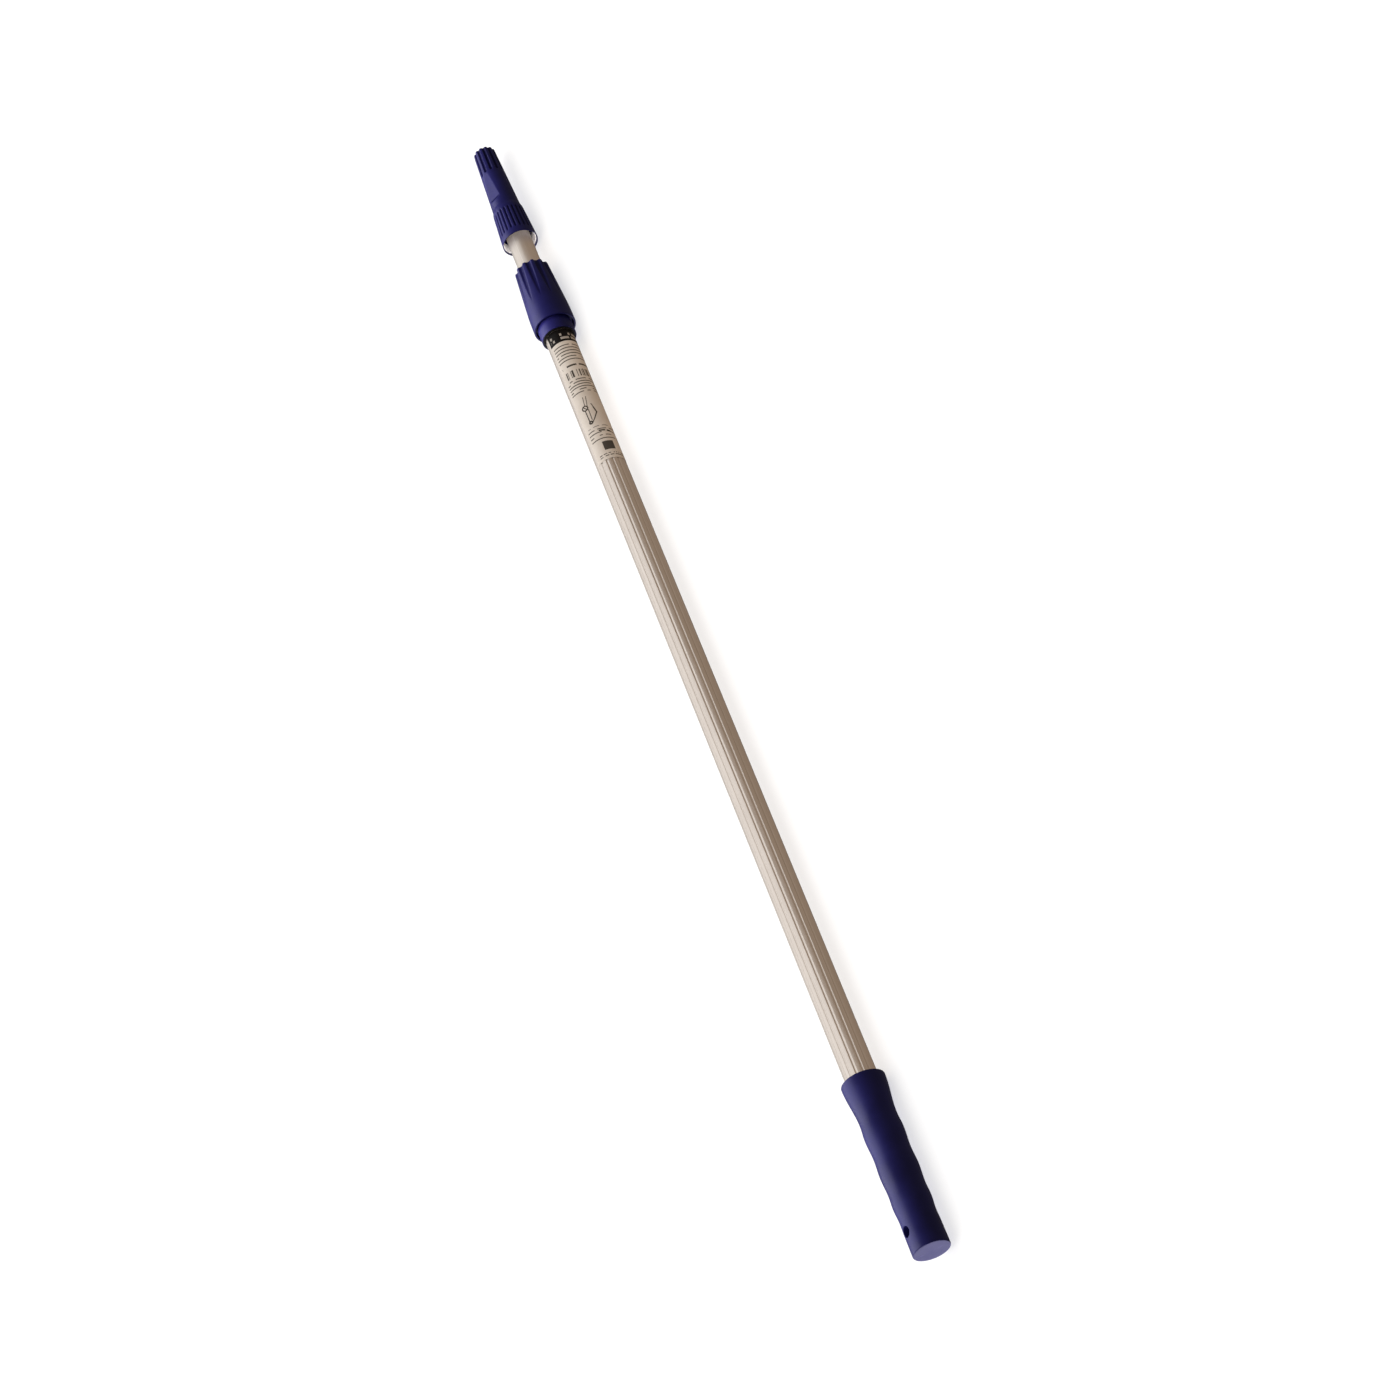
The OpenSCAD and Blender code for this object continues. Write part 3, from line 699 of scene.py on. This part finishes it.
ring = {"turns": 384, "step": 0.7, "flutes": 24, "phase": 5.0, "depth": 0.65, "cutter": 1.3,
        "bandStart": 7, "bandEnd": 34.5, "rimRadius": 16.1, "bandLow": 15.8, "bandHigh": 14.15,
        "shoulder": 13.9, "shoulderLength": 4, "inside": 15.3, "cavity": 24, "bore": 12.9}
x0, x1 = station("tip_collar", 0), station("tip_collar", 1)
collarOutline = softCorners([
    (x0, ring["rimRadius"] - 0.05, 0.4), (x0 + ring["bandStart"], ring["bandLow"], 2.0),
    (x0 + ring["bandEnd"], ring["bandHigh"], 1.5), (x1 - ring["shoulderLength"], ring["shoulder"], 1.2),
    (x1, ring["bore"] + 0.1, 0.3), (x1, ring["bore"], 0), (x0 + ring["cavity"], ring["bore"], 0),
    (x0, ring["inside"], 0.2)])


def skirtInside(x):  # the cone inside the skirt, then the bore
    return ring["inside"] + (ring["bore"] - ring["inside"]) * min((x - x0) / ring["cavity"], 1)


collar = turnedPiece("tipCollar", fineSteps(collarOutline, ring["step"]), ring["turns"],
                     lambda x, r: r > skirtInside(x) + 0.25)
cutFlutes(collar, bluePlastic, ring, x0 + ring["bandStart"] - 1, x0 + ring["bandEnd"] + 1, 0.0018, 0.0025)
finishPiece(collar, bluePlastic, "inner", "blue_plastic", "tip_collar")

liner = {"turns": 128, "outer": 14.98, "outerEnd": 14.1, "inner": 14.5, "innerEnd": 13.55, "deeper": 1.8}
x0, x1 = station("skirt_liner", 0), station("skirt_liner", 1) + liner["deeper"]
linerPiece = turnedPiece("skirtLiner", softCorners([
    (x0, liner["outer"], 0.15), (x1, liner["outerEnd"], 0.1), (x1, liner["innerEnd"], 0.1),
    (x0, liner["inner"], 0.15)]), liner["turns"])
finishPiece(linerPiece, whitePlastic, "inner", "white_plastic", "skirt_liner")
print("tip built")

rowKeys = ("from", "tall", "left", "right", "pitch", "ink", "dash", "share", "seed")
labelPrint = {
    "head": 14.0, "film": (0.66, 0.6, 0.53, 1), "filmLight": (0.76, 0.7, 0.63, 1), "black": (0.006, 0.005, 0.005, 1),
    "inkColour": (0.02, 0.016, 0.012, 1), "inkStrength": 0.92,
    "headMarks": dict(zip(rowKeys, (3.2, 8.3, 3.5, 52, 4.2, 0.62, 1.9, 0.6, 3))),
    "rows": [dict(zip(rowKeys, row)) for row in (
        (17, 19, 3, 48, 3.4, 0.3, 2.6, 0.86, 1),
        (41, 2.4, 4, 50, 2.4, 0.8, 2.2, 0.85, 2),
        (48, 8, 5, 50, 8.0, 1.0, 0.55, 0.5, 5),
        (58, 16, 3, 46, 2.9, 0.34, 3.0, 0.88, 9),
        (114, 15, 4, 46, 3.6, 0.26, 2.6, 0.75, 12),
        (132, 9.5, 12.5, 22, 9.5, 1.0, 40, 1.1, 4),
        (144, 4, 6, 44, 2.2, 0.4, 1.1, 0.7, 15))],
    "rings": [(92.0, 10.0, 2.4, 1.2), (108.5, 10.4, 1.2, 1.6)],
    "strokes": [(80.0, 11.5, 89.6, 10.6, 0.6), (80.0, 14.2, 91.0, 12.4, 0.6), (94.5, 9.4, 107.0, 9.6, 0.9),
                (94.5, 12.4, 106.0, 12.2, 0.7), (93.0, 17.0, 99.0, 18.2, 1.3), (99.0, 18.2, 105.0, 14.8, 1.0),
                (105.0, 14.8, 109.0, 12.0, 0.9), (89.0, 16.2, 95.0, 17.6, 0.8), (90.0, 8.8, 94.0, 11.2, 0.9),
                (119.6, 14.4, 119.9, 18.6, 1.6), (120.4, 21.2, 120.8, 23.2, 1.9)]}


def inkBlock(bench, along, around, top, block):  # measured down from the label's top end
    high = top - block["from"]
    rows = useGroup(bench, inkRows, Along=along, Around=around, From=high - block["tall"], To=high,
                    Left=block["left"], Right=block["right"], Row_Pitch=block["pitch"], Ink_Share=block["ink"],
                    Dash_Length=block["dash"], Dash_Share=block["share"], Seed=block["seed"])
    return rows.outputs["Ink"]


def makeLabelFilm():  # cream film, black head, plain marks
    material, bench, shader = newMaterial("labelFilm")
    place = useGroup(bench, polePlace, Radius=radiusOf("outer_tube"))
    along, around = place.outputs["Along"], place.outputs["Around"]
    top = station("label", 1)
    blocks = [inkBlock(bench, along, around, top, block) for block in labelPrint["rows"]]
    ink = blocks[0]
    for block in blocks[1:]:
        ink = bench.math("MAXIMUM", ink, block)
    for fromTop, sideways, size, width in labelPrint["rings"]:
        loop = useGroup(bench, inkRing, Along=along, Around=around, From=top - fromTop, Side=sideways,
                        Size=size, Width=width)
        ink = bench.math("MAXIMUM", ink, loop.outputs["Ink"])
    for fromA, sideA, fromB, sideB, width in labelPrint["strokes"]:
        stroke = useGroup(bench, inkStroke, Along=along, Around=around, Start=(top - fromA, sideA, 0),
                          End=(top - fromB, sideB, 0), Width=width)
        ink = bench.math("MAXIMUM", ink, stroke.outputs["Ink"])
    head = bench.math("GREATER_THAN", along, top - labelPrint["head"])
    inked = bench.math("MAXIMUM", bench.math("MULTIPLY", ink, labelPrint["inkStrength"]), head)
    grain = useGroup(bench, mouldGrain, Grain_Size=0.6, Cloud_Size=18.0)
    cloud = spread(bench, grain.outputs["Cloud"], 0.0, 1.0)
    film = mixColours(bench, cloud, labelPrint["film"], labelPrint["filmLight"])
    printed = mixColours(bench, bench.math("MULTIPLY", ink, labelPrint["inkStrength"]), film, labelPrint["inkColour"])
    marks = bench.math("MULTIPLY", inkBlock(bench, along, around, top, labelPrint["headMarks"]), 0.55)
    headColour = mixColours(bench, marks, labelPrint["black"], labelPrint["filmLight"])
    bench.feed(shader.inputs["Base Color"], mixColours(bench, head, printed, headColour))
    bench.feed(shader.inputs["Roughness"], spread(bench, grain.outputs["Cloud"], 0.36, 0.48))
    bench.feed(shader.inputs["Specular IOR Level"], spread(bench, inked, 0.38, 0.07, 0.0, 1.0))
    bumpFrom(bench, shader, grain.outputs["Height"], 0.06, 0.03)
    return material


labelShape = {"turns": 200, "start": 6.0, "wrap": 250.0, "thickness": 0.12, "lift": 0.02}
x0, x1 = station("label", 0), station("label", 1)
inside = radiusOf("outer_tube") + labelShape["lift"]
labelOutline = softCorners([(x0, inside + labelShape["thickness"], 0.04), (x1, inside + labelShape["thickness"], 0.04),
                            (x1, inside, 0), (x0, inside, 0)])
labelPiece = turnedPiece("printedLabel", labelOutline, labelShape["turns"],
                         sweep=(labelShape["start"], labelShape["start"] + labelShape["wrap"]))
finishPiece(labelPiece, makeLabelFilm(), "handle", "label_film", "label")
print("label built")

innerFinish = {
    "butt_plug": greyPlastic, "end_plug": greyPlastic, "tip_plug": greyPlastic, "clamp_ring": greyPlastic,
    "mouth_bush": naturalNylon, "clamp_jaws": naturalNylon, "glide_ring": naturalNylon,
    "nut_wiper": blackRubber, "base_pins": pinSteel, "tip_pin": pinSteel}
for nodeName, material in innerFinish.items():
    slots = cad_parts[nodeName].data.materials
    if not slots:
        slots.append(material)
    for index in range(len(slots)):
        slots[index] = material

studio = {
    "focal": 82.29, "slant": 56.0, "frontAngle": 57.3, "distance": 2523.7, "aimStation": 504.4,
    "imageDown": (0.376711, 0.926332), "offCentre": (6.39, -1.88), "focalPixels": 3200.0,
    "sensor": 36.0, "seesTo": 100.0, "floorSize": 40.0, "floorColour": (0.93, 0.93, 0.93, 1),
    "roomColour": (1.0, 0.88, 0.8, 1), "roomStrength": 0.12, "wallColour": (1.0, 1.0, 1.0, 1), "wallStrength": 1.0}


def makeCamera(setup):  # looks from the butt end, rolled to the slant
    slant, front = math.radians(setup["slant"]), math.radians(setup["frontAngle"])
    pole = Vector((1, 0, 0))
    facing = Vector((0, -math.sin(front), math.cos(front)))
    side = pole.cross(facing)
    dx, dy = setup["imageDown"]
    s, c = math.sin(slant), math.cos(slant)
    right = -s * dx * pole - c * dx * facing + dy * side
    down = -s * dy * pole - c * dy * facing - dx * side
    forward = c * pole - s * facing
    depth = setup["distance"] * mm
    aim = Vector(((setup["aimStation"] - halfLength) * mm, 0, axisHeight))
    ox, oy = (v / setup["focalPixels"] * depth for v in setup["offCentre"])
    data = bpy.data.cameras.new("camera")
    data.lens = setup["focal"]
    data.sensor_width = setup["sensor"]
    data.clip_end = setup["seesTo"]
    camera = bpy.data.objects.new("camera", data)
    place = Matrix((right, -down, -forward)).transposed().to_4x4()
    place.translation = aim - right * ox - down * oy - forward * depth
    camera.matrix_world = place
    scene.collection.objects.link(camera)
    scene.camera = camera


def makeFloor(setup):
    size = setup["floorSize"] / 2
    mesh = bpy.data.meshes.new("floor")
    corners = [(-size, -size, 0), (size, -size, 0), (size, size, 0), (-size, size, 0)]
    mesh.from_pydata(corners, [], [(0, 1, 2, 3)])
    floor = bpy.data.objects.new("floor", mesh)
    scene.collection.objects.link(floor)
    material, bench, shader = newMaterial("paleFloor")
    grain = useGroup(bench, mouldGrain, Grain_Size=3.0, Cloud_Size=900.0)
    paler = [min(1.0, v * 1.03) for v in setup["floorColour"][:3]] + [1]
    bench.feed(shader.inputs["Base Color"],
               mixColours(bench, spread(bench, grain.outputs["Cloud"], 0.0, 1.0), setup["floorColour"], paler))
    shader.inputs["Roughness"].default_value = 0.9
    mesh.materials.append(material)
    floor.visible_glossy = False
    floor.visible_diffuse = False
    floor.visible_shadow = False
    return floor


def makeSun(name, towards, strength, spreadAngle, colour, only=(), skip=(), shadow=True):
    data = bpy.data.lights.new(name, "SUN")
    data.energy = strength
    data.angle = math.radians(spreadAngle)
    data.color = colour
    data.use_shadow = shadow
    sun = bpy.data.objects.new(name, data)
    sun.rotation_euler = Vector(towards).to_track_quat("Z", "Y").to_euler()
    scene.collection.objects.link(sun)
    if only or skip:
        lit = bpy.data.collections.new(name + "Receivers")
        sun.light_linking.receiver_collection = lit
        for piece in only or skip:
            lit.objects.link(piece)
        for entry in lit.collection_objects:
            entry.light_linking.link_state = "INCLUDE" if only else "EXCLUDE"


def makeWorld(setup):  # dim for the light, white for the camera past the floor's edge
    world = bpy.data.worlds.new("studio")
    world.use_nodes = True
    scene.world = world
    bench = NodeBench(world.node_tree)
    room, wall = world.node_tree.nodes["Background"], bench.add("ShaderNodeBackground")
    for node, part in ((room, "room"), (wall, "wall")):
        node.inputs["Color"].default_value = setup[part + "Colour"]
        node.inputs["Strength"].default_value = setup[part + "Strength"]
    seen = bench.add("ShaderNodeMixShader")
    bench.feed(seen.inputs["Fac"], bench.add("ShaderNodeLightPath").outputs["Is Camera Ray"])
    bench.feed(seen.inputs[1], room.outputs["Background"])
    bench.feed(seen.inputs[2], wall.outputs["Background"])
    bench.feed(world.node_tree.nodes["World Output"].inputs["Surface"], seen.outputs["Shader"])


makeCamera(studio)
floor = makeFloor(studio)
metalPieces = [tube, slim, labelPiece]
makeSun("plasticSky", (0.12, 0.42, 0.9), 3.8, 84, (0.93, 0.91, 1.0), skip=metalPieces + [floor, gripPiece])
makeSun("gripSky", (0.08, 0.56, 0.82), 3.1, 80, (0.88, 0.87, 1.0), only=[gripPiece])
makeSun("gripSheen", (-0.34, 0.84, -0.42), 2.15, 60, (0.66, 0.64, 1.0), only=[gripPiece])
makeSun("floorSheen", (-0.3, 0.8, -0.5), 1.5, 66, (0.76, 0.73, 1.0), skip=metalPieces + [floor, gripPiece])
makeSun("neckFill", (-0.35, 0.3, 0.88), 1.8, 50, (1.0, 0.86, 0.72), only=[base])
makeSun("mouthFill", (-1.0, -0.25, 0.0), 13.0, 130, (1.0, 0.97, 0.96), only=[linerPiece])
makeSun("metalSky", (0.12, 0.26, 0.955), 3.1, 126, (1.0, 0.99, 0.985), only=metalPieces)
makeSun("warmBounce", (0.1, -0.86, -0.5), 0.9, 150, (1.0, 0.74, 0.52), only=metalPieces)
makeSun("paperLight", (0.1, 0.25, 0.96), 1.6, 175, (1.0, 1.0, 1.0), only=[floor])
makeSun("paperFill", (0.0, 0.0, 1.0), 2.0, 20, (1.0, 1.0, 1.0), only=[floor], shadow=False)
makeWorld(studio)
scene.view_settings.view_transform = "Standard"
print("studio ready")
